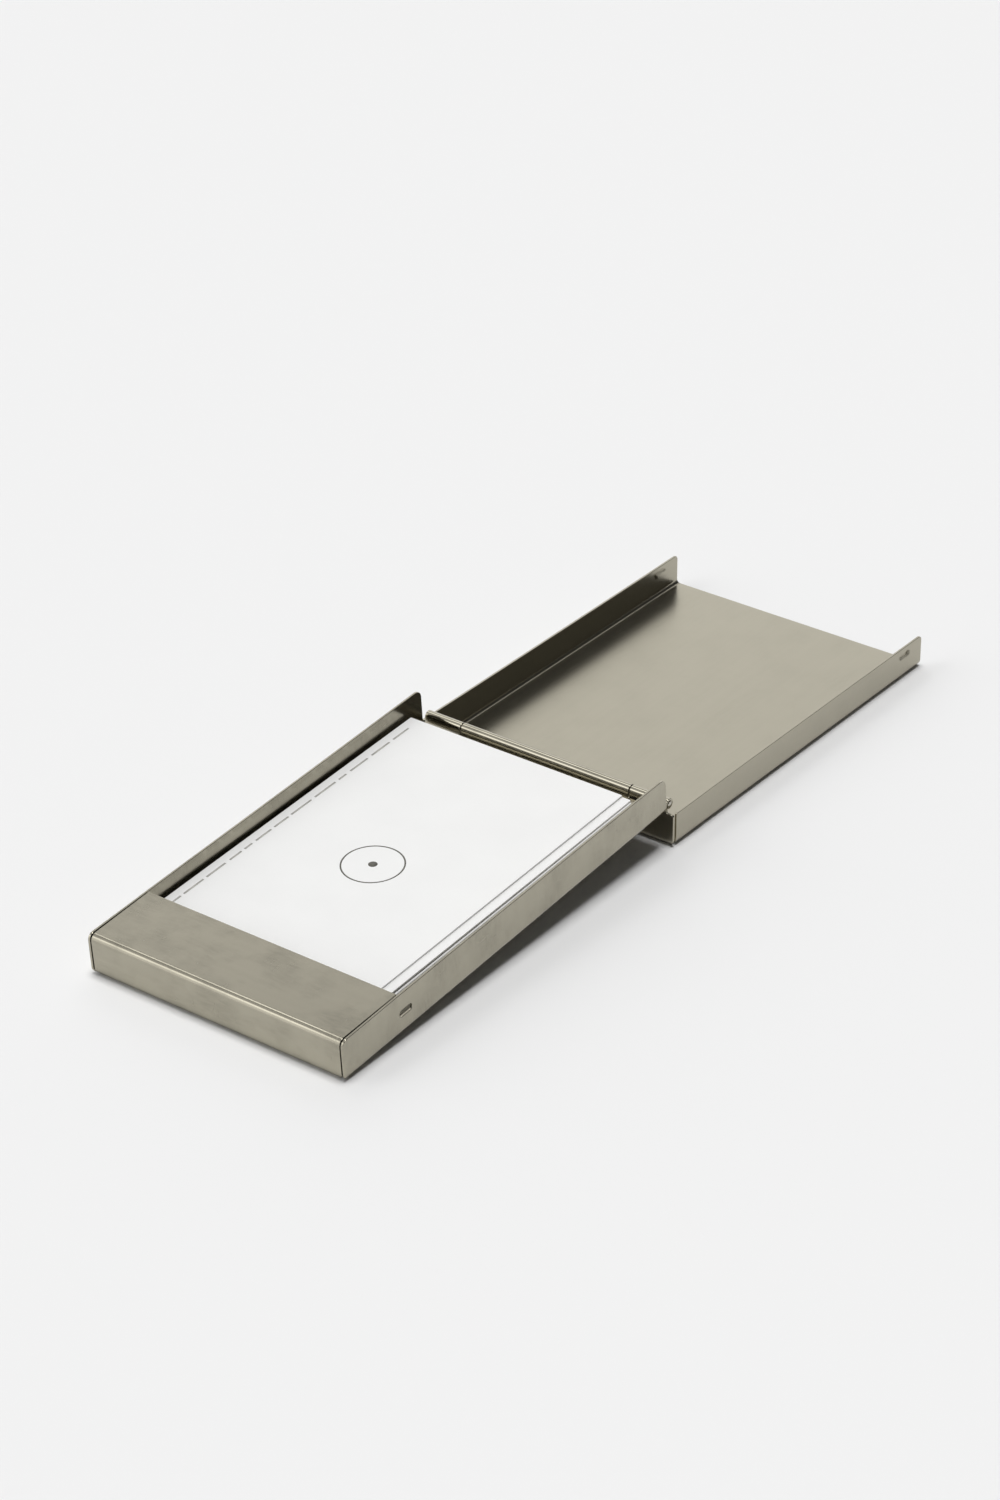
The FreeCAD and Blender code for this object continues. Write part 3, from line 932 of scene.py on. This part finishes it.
@dataclass
class Tray(FoldedShell):
    """The tray that holds the cards: floor, side walls, front wall with its band, and a knuckle.

    On its blank, 'along' is the distance in front of the hinge axis. Past 0 it is the tongue
    that is rolled round the wire.

    Attributes:
        width: Outside width.
        reach: Hinge axis to the outer face of the front wall.
        wall_front: Height of the side walls at the band.
        wall_rear: Height of the side walls at the hinge.
        setback: Hinge axis to the rear end of the floor.
        rear_corner: Rounding of the side walls' rear ends.
        band_depth: Depth of the band over the cards.
        seam_front: Seam beside the front wall.
        seam_rear: Seam beside the band's rear edge.
        barrel: Outer radius of the rolled knuckle.
        turn: Degrees that the knuckle is rolled round.
        knuckle_half: Half the knuckle's length.
        catch_reach: Hinge axis to the catch slots.
        catch_height: Slots over the under face.
        slot_length: Length of each slot.
        slot_width: Width of each slot.
        relief_edge: Edge of the flat floor to the front flap's edge, beside the corner relief.
        relief_past: The same past the front bend, where the relief is narrower.
    """

    width: float = 59.0
    reach: float = 100.3
    wall_front: float = 8.8
    wall_rear: float = 8.1
    setback: float = 1.7
    rear_corner: float = 1.7
    band_depth: float = 16.35
    seam_front: float = 0.32
    seam_rear: float = 0.18
    barrel: float = 1.15
    turn: float = 300.0
    knuckle_half: float = 20.15
    catch_reach: float = 82.5
    catch_height: float = 4.6
    slot_length: float = 3.6
    slot_width: float = 1.4
    relief_edge: float = 0.7
    relief_past: float = 0.74

    @property
    def bend_line(self) -> float:
        """Hinge axis to where the front bend begins."""
        return self.reach - self.sheet.bend

    @property
    def curl(self) -> float:
        """Length of the rolled tongue."""
        return self.barrel * math.radians(self.turn)

    @property
    def band_edge(self) -> float:
        """Gives where the band's rear edge lies along the blank."""
        rise = self.wall_front - 2 * self.sheet.bend
        return self.bend_line + 2 * self.sheet.quarter + rise + self.band_depth - self.sheet.bend

    def outline(self) -> Outline:
        """Gives the blank's outline: tongue, floor, side flaps and the long front flap."""
        bend = self.sheet.bend
        inner = self.width / 2 - self.sheet.thick
        low, high = self.wall_edge(self.wall_rear), self.wall_edge(self.wall_front)
        half = [
            (self.knuckle_half, -self.curl, 0.12), (self.knuckle_half, self.setback, 0.35),
            (low, self.setback, self.rear_corner), (high, self.reach - self.band_depth, 0.0),
            (high, self.reach, bend),
        ]
        # The flaps' ends follow the front bend, down to a small relief in the corner.
        for angle in (90, 78, 66, 54, 42, 34):
            turn = math.radians(angle)
            half.append((self.flat_half + bend * turn, self.bend_line + bend * math.sin(turn), 0.0))
        half += [
            (self.flat_half + 0.78, self.bend_line - 0.1, 0.15),
            (self.flat_half - 0.05, self.bend_line - 0.1, 0.15),
            (self.flat_half - 0.05, self.bend_line + 1.0, 0.3),
            (inner - self.seam_front, self.bend_line + 1.9, 0.3),
            (inner - self.seam_rear, self.band_edge, 0.25),
        ]
        rounded = round_corners(mirrored(half))
        # The rolled end was sheared, and its edge is a little ragged.
        draw = random.Random(11)
        ragged = [(x, -self.curl + draw.uniform(-0.05, 0.07)) for x in spread(-19.6, 19.6, 0.55)]
        return rounded + ragged

    def holes(self) -> list[Outline]:
        """Gives the two catch slots."""
        height = self.wall_edge(self.catch_height)
        size = (self.slot_length, self.slot_width)
        return [obround(side * height, self.catch_reach, *size) for side in (-1, 1)]

    def stations(self) -> tuple[list[float], list[float]]:
        """Gives the mesh lines: close together in the bends, and wide apart on the flats."""
        bend_end = self.flat_half + self.sheet.quarter
        across = spread(0, self.flat_half, FLAT_STEP) + spread(self.flat_half, bend_end, BEND_STEP)
        across += spread(bend_end, self.wall_edge(self.wall_front), 0.9)
        top = self.bend_line + self.sheet.quarter
        rise = self.wall_front - 2 * self.sheet.bend
        along = spread(-self.curl, 0, ROLL_STEP) + spread(0, self.bend_line, FLAT_STEP)
        along += spread(self.bend_line, top, BEND_STEP) + spread(top, top + rise, 0.9)
        along += spread(top + rise, top + rise + self.sheet.quarter, BEND_STEP)
        along += spread(top + rise + self.sheet.quarter, self.band_edge, 1.3)
        return both_sides(across), sorted(set(along))

    def extra_points(self) -> np.ndarray:
        """Gives rings of points round the slots."""
        height = self.wall_edge(self.catch_height)
        length, width = self.slot_length, self.slot_width
        rings = [
            obround(side * height, self.catch_reach, length + more, width + more)
            for side in (-1, 1)
            for more in (0.5, 1.2)
        ]
        return np.array([point for ring in rings for point in ring])

    def press(self, across: np.ndarray, along: np.ndarray) -> np.ndarray:
        """Gives the sheet's unevenness."""
        return self.unevenness(across, along, self.reach, seed=3, bow=0.1)

    def fold(self, across: np.ndarray, along: np.ndarray, depth: np.ndarray) -> np.ndarray:
        """Folds the side walls up, the front flap up and back, and rolls the tongue."""
        bend, quarter = self.sheet.bend, self.sheet.quarter
        under = -self.barrel
        side = Section((0, under), 0, (Run(self.flat_half), Run(quarter, bend), Run(OPEN_END)))
        rise = Run(self.wall_front - 2 * bend)
        turn = Run(quarter, bend)
        front = Section((self.bend_line, under), 0, (turn, rise, turn, Run(OPEN_END)))
        roll = Section((0, under), 0, (Run(OPEN_END, self.barrel),))
        x, z = side.place(np.abs(across), depth)
        made = np.column_stack([np.sign(across) * x, -along, z])
        beyond = np.abs(across) - self.flat_half
        flap = (along > self.bend_line) & (beyond < self.relief_past)
        flap &= ~((beyond > self.relief_edge) & (along < self.reach))
        forward, up = front.place(along[flap] - self.bend_line, depth[flap])
        made[flap] = np.column_stack([across[flap], -forward, up])
        tongue = along < 0
        back, up = roll.place(-along[tongue], depth[tongue])
        made[tongue] = np.column_stack([across[tongue], back, up])
        return made

    def make(self, steel: bpy.types.Material) -> list[bpy.types.Object]:
        """Builds and dresses the tray."""
        piece = self.build("tray_folded_shell", HINGE.leaning())
        dress(piece, steel, "tray")
        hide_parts("tray_shell")
        return [piece]


# ---------------------------------------------------------------- the lid


@dataclass
class Lid(FoldedShell):
    """The lid: plate, side walls with snap dimples, end wall and two knuckles.

    On its blank, 'along' is the distance from the end wall's outer face to the open end. Below
    the bend it is the end wall and the two tongues that are rolled over the wire.

    Attributes:
        width: Outside width.
        length: Outer face of the end wall to the open end.
        wall: Height of the walls.
        wall_start: End wall's outer face to the side walls.
        open_corner: Rounding of the side walls' open ends.
        end_corner: Rounding of the end wall's upper corners.
        axis_height: Hinge axis over the outer face.
        barrel: Outer radius of the rolled knuckles.
        turn: Degrees that each knuckle is rolled round.
        knuckle_near: Centre line to the near end of each knuckle.
        knuckle_far: Centre line to its far end.
        catch_reach: Hinge axis to the dimples.
        catch_height: Dimples over the outer face.
        dimple_length: Length of each dimple.
        dimple_width: Width of each dimple.
        dimple_height: How far it is pressed in.
        dimple_crown: Middle line of the dimple to the edge of its flat top.
        dimple_flank: Width of the slope round that.
        relief_edge: Edge of the flat plate to the end wall's end, beside the corner relief.
        relief_start: End wall's outer face to where that relief begins.
    """

    width: float = 61.4
    length: float = 90.1
    wall: float = 7.05
    wall_start: float = 1.15
    open_corner: float = 1.0
    end_corner: float = 0.7
    axis_height: float = 8.65
    barrel: float = 1.11
    turn: float = 300.0
    knuckle_near: float = 20.35
    knuckle_far: float = 29.0
    catch_reach: float = 82.5
    catch_height: float = 5.2
    dimple_length: float = 4.2
    dimple_width: float = 1.6
    dimple_height: float = 0.47
    dimple_crown: float = 0.4
    dimple_flank: float = 0.36
    relief_edge: float = 0.66
    relief_start: float = 0.7

    def end_edge(self, height: float) -> float:
        """Gives where a height on the end wall lies along the blank."""
        return self.sheet.bend - self.sheet.quarter - (height - self.sheet.bend)

    @property
    def curl_end(self) -> float:
        """Gives where a rolled tongue ends along the blank."""
        return self.end_edge(self.axis_height) - self.barrel * math.radians(self.turn)

    def outline(self) -> Outline:
        """Gives the blank's outline: tongues, end wall, plate and side flaps."""
        bend = self.sheet.bend
        top = self.end_edge(self.wall)
        edge = self.wall_edge(self.wall)
        half = [
            (self.knuckle_near, top, 0.35), (self.knuckle_near, self.curl_end, 0.12),
            (self.knuckle_far, self.curl_end, 0.12), (self.knuckle_far, top, 0.3),
            (self.width / 2, top, self.end_corner),
        ]
        # The end wall's lower corners follow the side bends.
        for angle in (90, 78, 66, 54, 42, 30):
            turn = math.radians(angle)
            half.append((self.flat_half + bend * math.sin(turn), bend - bend * turn, 0.0))
        half += [
            (self.flat_half + 0.3, bend + 0.12, 0.12), (self.flat_half + 0.78, bend + 0.12, 0.12),
            (self.flat_half + 0.78, self.wall_start, 0.2), (edge, self.wall_start, 0.35),
            (edge, self.length, self.open_corner),
        ]
        return round_corners(mirrored(half))

    def stations(self) -> tuple[list[float], list[float]]:
        """Gives the mesh lines: close together in the bends, and wide apart on the flats."""
        bend = self.sheet.bend
        bend_end = self.flat_half + self.sheet.quarter
        across = spread(0, self.flat_half, FLAT_STEP) + spread(self.flat_half, bend_end, BEND_STEP)
        across += spread(bend_end, self.wall_edge(self.wall), 0.8)
        wall_foot = bend - self.sheet.quarter
        axis = self.end_edge(self.axis_height)
        along = spread(self.curl_end, axis, ROLL_STEP) + spread(axis, wall_foot, 0.9)
        along += spread(wall_foot, bend, BEND_STEP) + spread(bend, self.length, FLAT_STEP)
        return both_sides(across), sorted(set(along))

    def dimple_gap(self, across: np.ndarray, along: np.ndarray) -> np.ndarray:
        """Gives each point's distance from the middle line of the nearer dimple."""
        middle = self.catch_reach + self.barrel
        half = (self.dimple_length - self.dimple_width) / 2
        past = np.maximum(np.abs(along - middle) - half, 0)
        return np.hypot(past, np.abs(across) - self.wall_edge(self.catch_height))

    def extra_points(self) -> np.ndarray:
        """Gives a fine grid of points over each dimple."""
        middle = self.catch_reach + self.barrel
        height = self.wall_edge(self.catch_height)
        fine = [(side * u, v) for side in (-1, 1)
                for u in np.arange(height - 1.15, height + 1.16, 0.115)
                for v in np.arange(middle - 2.5, middle + 2.51, 0.125)]
        return np.array(fine)

    def press(self, across: np.ndarray, along: np.ndarray) -> np.ndarray:
        """Gives the dimples and the sheet's unevenness."""
        gap = self.dimple_gap(across, along)
        dimple = 1 - smooth_step((gap - self.dimple_crown) / self.dimple_flank)
        uneven = self.unevenness(across, along, self.length, seed=8, bow=0.08)
        return self.dimple_height * dimple + uneven

    def fold(self, across: np.ndarray, along: np.ndarray, depth: np.ndarray) -> np.ndarray:
        """Folds the side walls and the end wall up, and rolls the tongues."""
        bend, quarter = self.sheet.bend, self.sheet.quarter
        outer = -self.axis_height
        side = Section((0, outer), 0, (Run(self.flat_half), Run(quarter, bend), Run(OPEN_END)))
        rise = self.axis_height - bend
        end = Section((0, outer), 0, (Run(quarter, bend), Run(rise), Run(OPEN_END, self.barrel)))
        x, z = side.place(np.abs(across), depth)
        made = np.column_stack([np.sign(across) * x, along - self.barrel, z])
        outside = np.abs(across) > self.flat_half + self.relief_edge
        flap = (along < bend) & ~(outside & (along > self.relief_start))
        back, up = end.place(bend - along[flap], depth[flap])
        made[flap] = np.column_stack([across[flap], bend - self.barrel - back, up])
        return made

    def make(self, steel: bpy.types.Material) -> list[bpy.types.Object]:
        """Builds and dresses the lid."""
        piece = self.build("lid_folded_shell", HINGE.level())
        dress(piece, steel, "lid")
        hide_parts("lid_shell")
        return [piece]


# ---------------------------------------------------------------- the hinge wire


@dataclass
class HingeWire:
    """The wire that the knuckles turn on, with its ends dressed to low domes.

    Attributes:
        radius: Radius of the wire.
        half_length: Centre line to the tip of each end.
        dome: Height of the dome on each end.
        rim: Rounding of the rim of each end.
        sides: Flats that the round wire is divided into.
    """

    radius: float = 0.6
    half_length: float = 29.3
    dome: float = 0.15
    rim: float = 0.06
    sides: int = 40

    def profile(self) -> list[tuple[float, float, float]]:
        """Gives the wire's outline from the left tip: place, radius and slope of the surface."""
        curve = (self.radius**2 + self.dome**2) / (2 * self.dome)
        spread_angle = math.asin((self.radius - self.rim) / curve)
        tip = []
        for share in np.linspace(0, 1, 6)[1:]:
            angle = spread_angle * float(share)
            inward = curve * (1 - math.cos(angle))
            tip.append((-self.half_length + inward, curve * math.sin(angle), angle))
        shoulder = -self.half_length + self.dome + self.rim
        for angle in (50, 70, 90):
            turn = math.radians(angle)
            height = self.radius - self.rim + self.rim * math.sin(turn)
            tip.append((shoulder - self.rim * math.cos(turn), height, turn))
        straight = spread(shoulder + 0.3, -shoulder - 0.3, 2.0)
        body = [(x, self.radius, math.pi / 2) for x in straight]
        return tip + body + [(-x, r, math.pi - a) for x, r, a in reversed(tip)]

    def make(self, steel: bpy.types.Material) -> list[bpy.types.Object]:
        """Builds and dresses the wire."""
        points, normals, blank, faces = [], [], [], []
        profile = self.profile()
        for x, radius, slope in profile:
            for k in range(self.sides):
                angle = 2 * math.pi * k / self.sides
                points.append((x, radius * math.cos(angle), radius * math.sin(angle)))
                lean = math.sin(slope)
                normals.append((-math.cos(slope), lean * math.cos(angle), lean * math.sin(angle)))
                blank.append((x, self.radius * angle))
        for row in range(len(profile) - 1):
            for k in range(self.sides):
                a = row * self.sides + k
                b = row * self.sides + (k + 1) % self.sides
                faces.append((a, b, b + self.sides, a + self.sides))
        for x, row in ((-self.half_length, 0), (self.half_length, len(profile) - 1)):
            points.append((x, 0, 0))
            normals.append((math.copysign(1, x), 0, 0))
            blank.append((x, 0))
            for k in range(self.sides):
                a = row * self.sides + k
                b = row * self.sides + (k + 1) % self.sides
                faces.append((b, a, len(points) - 1) if row == 0 else (a, b, len(points) - 1))
        piece = make_piece(
            "hinge_wire", np.array(points), faces, HINGE.level(), np.array(normals), np.array(blank)
        )
        dress(piece, steel, "lid")
        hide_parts("hinge_pin")
        return [piece]


# ---------------------------------------------------------------- the cards


@dataclass
class Card(SheetPiece):
    """One business card, which lies in the tray and may be a little sprung.

    Attributes:
        width: Short side.
        length: Long side.
        right: Centre line to its middle.
        rear: Hinge axis to its rear edge.
        height: Its under face over the hinge axis.
        lift: How far its front end stands off the card below.
    """

    width: float
    length: float
    right: float
    rear: float
    height: float
    lift: float
    sheet = Sheet(thick=0.39, bend=0.0, edge=0.12)
    # A card has no bend, so wide steps are enough.
    span = 1.2

    def outline(self) -> Outline:
        """Gives the card's guillotined outline."""
        half = self.width / 2
        return round_corners(mirrored([(half, 0.0, 0.3), (half, self.length, 0.3)]))

    def stations(self) -> tuple[list[float], list[float]]:
        """Gives the mesh lines."""
        return both_sides(spread(0, self.width / 2, 3.2)), spread(0, self.length, 3.4)

    def press(self, across: np.ndarray, along: np.ndarray) -> np.ndarray:
        """Gives the card's spring, which lifts its front end."""
        return self.lift * np.clip(along / self.length, 0, 1)

    def fold(self, across: np.ndarray, along: np.ndarray, depth: np.ndarray) -> np.ndarray:
        """Places the flat card in the tray."""
        return np.column_stack([self.right + across, -(self.rear + along), self.height + depth])


@dataclass
class CardStack:
    """The cards in the tray, and the print on the top one.

    Attributes:
        width: Short side of a card.
        length: Long side of a card.
        pitch: One card to the next.
        left: Left edge of the top card.
        rear: Hinge axis to the rear edge of the top card.
        floor: Under face of the lowest card over the hinge axis.
        shifts: How far each card lies right of, and forward of, the top one, from the floor up.
        lift: How far the front ends of the top two cards have sprung up.
        flat_cards: How many cards lie flat; those between fan out evenly.
    """

    width: float = 50.8
    length: float = 88.9
    pitch: float = 0.4
    left: float = -28.13
    rear: float = 6.4
    floor: float = -0.64
    shifts: tuple[tuple[float, float], ...] = (
        (3.6, 0.5), (3.3, 0.9), (3.8, 0.4), (3.4, 0.7), (3.9, 0.3), (3.5, 0.8), (3.3, 0.6),
        (2.3, 0.2), (2.0, 0.0), (0.0, 0.0),
    )
    lift: float = 1.4
    flat_cards: int = 5

    def card(self, level: int) -> Card:
        """Gives the card at a level of the stack, counted from the floor."""
        right, forward = self.shifts[level]
        sprung = min(max(level - self.flat_cards + 1, 0) / 4, 1.0)
        return Card(
            width=self.width, length=self.length, right=self.left + self.width / 2 + right,
            rear=self.rear + forward, height=self.floor + level * self.pitch,
            lift=self.lift * sprung,
        )

    def make(
        self, board: bpy.types.Material, inks: tuple[bpy.types.Material, bpy.types.Material]
    ) -> list[bpy.types.Object]:
        """Builds and dresses the cards and the print."""
        made = []
        for level in range(len(self.shifts)):
            piece = self.card(level).build(f"business_card_{level + 1}", HINGE.leaning())
            dress(piece, board, "cards")
            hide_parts(f"card_{level + 1}")
            made.append(piece)
        return made + self.print_top(inks)

    def print_top(
        self, inks: tuple[bpy.types.Material, bpy.types.Material]
    ) -> list[bpy.types.Object]:
        """Prints a plain ring and a row of grey bars, for a mark and an address line."""
        top = self.card(len(self.shifts) - 1)
        made = []
        prints = (
            ("card_ring_print", ring_patches((0.0, 44.5), 6.2, 0.32), inks[0]),
            ("card_bar_print", bar_patches(-23.3, 3.5, 78.0), inks[1]),
        )
        for name, patches, ink in prints:
            points, faces = [], []
            for patch in patches:
                begun = len(points)
                points += patch
                faces.append(tuple(range(begun, begun + len(patch))))
            flat = np.array([(x, y, top.sheet.thick + PRINT_RISE) for x, y in points])
            placed = top.formed(flat)
            count = len(placed)
            rows = np.vstack([placed - (0, 0, PRINT_DEPTH), placed])
            solid = [tuple(i + count for i in face) for face in faces]
            for face in faces:
                solid.append(tuple(reversed(face)))
                for a, b in zip(face, face[1:] + face[:1]):
                    solid.append((a, b, b + count, a + count))
            piece = make_piece(name, rows, solid, HINGE.leaning())
            dress(piece, ink, "cards")
            made.append(piece)
        return made


def ring_patches(centre: tuple[float, float], radius: float, line: float) -> list[Outline]:
    """Gives the patches of a thin ring with a small disc in its middle.

    Args:
        centre: Middle of the ring on the card.
        radius: Radius of the ring.
        line: Width of its line.

    Returns:
        The outline of each patch.
    """
    count = 72
    outer = arc_points(centre, radius, 0, 360, count)
    inner = arc_points(centre, radius - line, 0, 360, count)
    patches = [[inner[k], outer[k], outer[k + 1], inner[k + 1]] for k in range(count)]
    return patches + [arc_points(centre, 0.9, 0, 360, 28)[:-1]]


def bar_patches(across: float, start: float, end: float) -> list[Outline]:
    """Gives a row of short bars of mixed lengths along the card's edge."""
    draw = random.Random(5)
    half = 0.22
    patches, place = [], start
    while place < end:
        length = draw.uniform(2.2, 6.5)
        near, far = across - half, across + half
        end_place = place + length
        patches.append([(near, place), (far, place), (far, end_place), (near, end_place)])
        place += length + draw.uniform(0.8, 1.3)
    return patches


# ---------------------------------------------------------------- the studio


@dataclass(frozen=True)
class Glow:
    """A soft patch of light in the surroundings.

    Attributes:
        towards: Direction of its middle.
        inner: Half angle in degrees over which it has its full brightness.
        outer: Half angle at which it has faded out.
        brightness: How much it adds.
    """

    towards: tuple[float, float, float]
    inner: float
    outer: float
    brightness: float


@dataclass
class Studio:
    """The floor, the light and the camera.

    Attributes:
        target: Point on the floor that the camera looks at, in millimetres.
        azimuth: Camera's direction round the case, in degrees from its front.
        elevation: Camera's height over the horizon, in degrees.
        roll: Camera's turn about its own line of sight, in degrees.
        distance: Camera to the target, in millimetres.
        lens: Focal length for a 36 mm sensor.
        glows: The patches of light round the case.
        dimness: Brightness of the surroundings between them.
        key_spread: Width of the panel straight overhead, in degrees, as the case sees it.
        key_strength: Light from that panel on the floor.
        floor_size: Side of the square floor, in millimetres.
        floor_cells: Cells along each side of its mesh.
        sensor: Width of the camera's sensor, in millimetres.
    """

    target: tuple[float, float, float] = (-18.26, 15.10, 0.0)
    azimuth: float = 36.75
    elevation: float = 29.95
    roll: float = -0.18
    distance: float = 807.8
    lens: float = 97.29
    dimness: float = 0.035
    glows: tuple[Glow, ...] = (
        Glow((-0.60, 0.80, 0.20), 12.0, 42.0, 1.13), Glow((-0.51, 0.22, 0.83), 3.0, 12.0, 2.1),
        Glow((-0.53, -0.25, 0.81), 4.0, 14.0, 0.6), Glow((-0.52, -0.62, 0.59), 4.0, 14.0, 1.3),
        Glow((-0.60, -0.80, 0.05), 20.0, 55.0, 1.2), Glow((-0.95, 0.20, 0.45), 15.0, 50.0, 0.25),
        Glow((-0.06, 0.69, 0.72), 4.0, 13.0, 1.0), Glow((0.60, -0.75, 0.40), 20.0, 65.0, 0.08),
    )
    key_spread: float = 22.0
    key_strength: float = 2.3
    floor_size: float = 5000.0
    floor_cells: int = 8
    sensor: float = 36.0

    def make_floor(self) -> None:
        """Lays the floor."""
        half = self.floor_size / 2 * MM
        steps = self.floor_cells
        mesh = bpy.data.meshes.new("floor")
        rows = np.linspace(-half, half, steps + 1)
        points = [(x, y, 0.0) for y in rows for x in rows]
        faces = []
        for row in range(steps):
            for k in range(steps):
                a = row * (steps + 1) + k
                faces.append((a, a + 1, a + steps + 2, a + steps + 1))
        mesh.from_pydata(points, [], faces)
        floor = bpy.data.objects.new("floor", mesh)
        bpy.context.scene.collection.objects.link(floor)
        mesh.materials.append(PaintedBoard().build())

    def make_light(self) -> None:
        """Surrounds the case with soft patches of light, as a studio's panels and walls give."""
        world = bpy.data.worlds.new("studio")
        bpy.context.scene.world = world
        world.use_nodes = True
        tree = world.node_tree
        tree.nodes.clear()
        place = add_node(tree, "TexCoord")
        total = None
        for glow in self.glows:
            middle = Vector(glow.towards).normalized()
            toward = add_node(
                tree, "VectorMath", {"operation": "DOT_PRODUCT", 1: tuple(middle)},
                {0: place.outputs["Generated"]},
            )
            patch = add_node(
                tree, "MapRange",
                {
                    "interpolation_type": "SMOOTHSTEP",
                    "From Min": math.cos(math.radians(glow.outer)),
                    "From Max": math.cos(math.radians(glow.inner)), "To Min": 0.0,
                    "To Max": glow.brightness,
                },
                {"Value": toward.outputs["Value"]},
            )
            if total is None:
                total = patch.outputs["Result"]
            else:
                links = {0: total, 1: patch}
                both = add_node(tree, "Math", {"operation": "ADD"}, links)
                total = both.outputs["Value"]
        lifted = add_node(tree, "Math", {"operation": "ADD", 1: self.dimness}, {0: total})
        total = lifted.outputs["Value"]
        white = (1.0, 1.0, 1.0, 1.0)
        background = add_node(tree, "Background", {"Color": white}, {"Strength": total})
        add_node(tree, "OutputWorld", links={"Surface": background})
        key = bpy.data.objects.new("overhead_panel", bpy.data.lights.new("overhead_panel", "SUN"))
        key.data.angle = math.radians(self.key_spread)
        key.data.energy = self.key_strength
        key.location = (0.0, 0.0, 1.0)
        bpy.context.scene.collection.objects.link(key)

    def make_camera(self) -> None:
        """Sets up the camera."""
        turn, rise = math.radians(self.azimuth), math.radians(self.elevation)
        level_out = math.cos(rise)
        back = Vector((math.sin(turn) * level_out, -math.cos(turn) * level_out, math.sin(rise)))
        camera = bpy.data.objects.new("camera", bpy.data.cameras.new("camera"))
        camera.data.lens = self.lens
        camera.data.sensor_width = self.sensor
        camera.data.clip_end = 20.0
        camera.location = (Vector(self.target) + back * self.distance) * MM
        level = back.to_track_quat("Z", "Y").to_matrix().to_4x4()
        rolled = level @ Matrix.Rotation(math.radians(self.roll), 4, "Z")
        camera.rotation_euler = rolled.to_euler()
        bpy.context.scene.collection.objects.link(camera)
        bpy.context.scene.camera = camera

    def make(self) -> None:
        """Sets up everything round the case."""
        self.make_floor()
        self.make_light()
        self.make_camera()
        bpy.context.scene.view_settings.view_transform = "Standard"


def main() -> None:
    """Builds the case piece by piece, and then the studio round it."""
    logging.basicConfig(level=logging.INFO, format="%(name)s: %(message)s")
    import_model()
    steels = {finish.name: finish.build() for finish in (TRAY_STEEL, LID_STEEL, WIRE_STEEL)}
    board = CARD_BOARD.build()
    inks = (DARK_INK.build(), GREY_INK.build())
    made = Tray().make(steels[TRAY_STEEL.name])
    made += Lid().make(steels[LID_STEEL.name])
    made += HingeWire().make(steels[WIRE_STEEL.name])
    made += CardStack().make(board, inks)
    for piece in made:
        size = ", ".join(f"{edge / MM:.2f}" for edge in piece.dimensions)
        log.info("%s: %d faces, %s mm", piece.name, len(piece.data.polygons), size)
    Studio().make()
    bpy.context.view_layer.update()


if __name__ == "__main__":
    main()
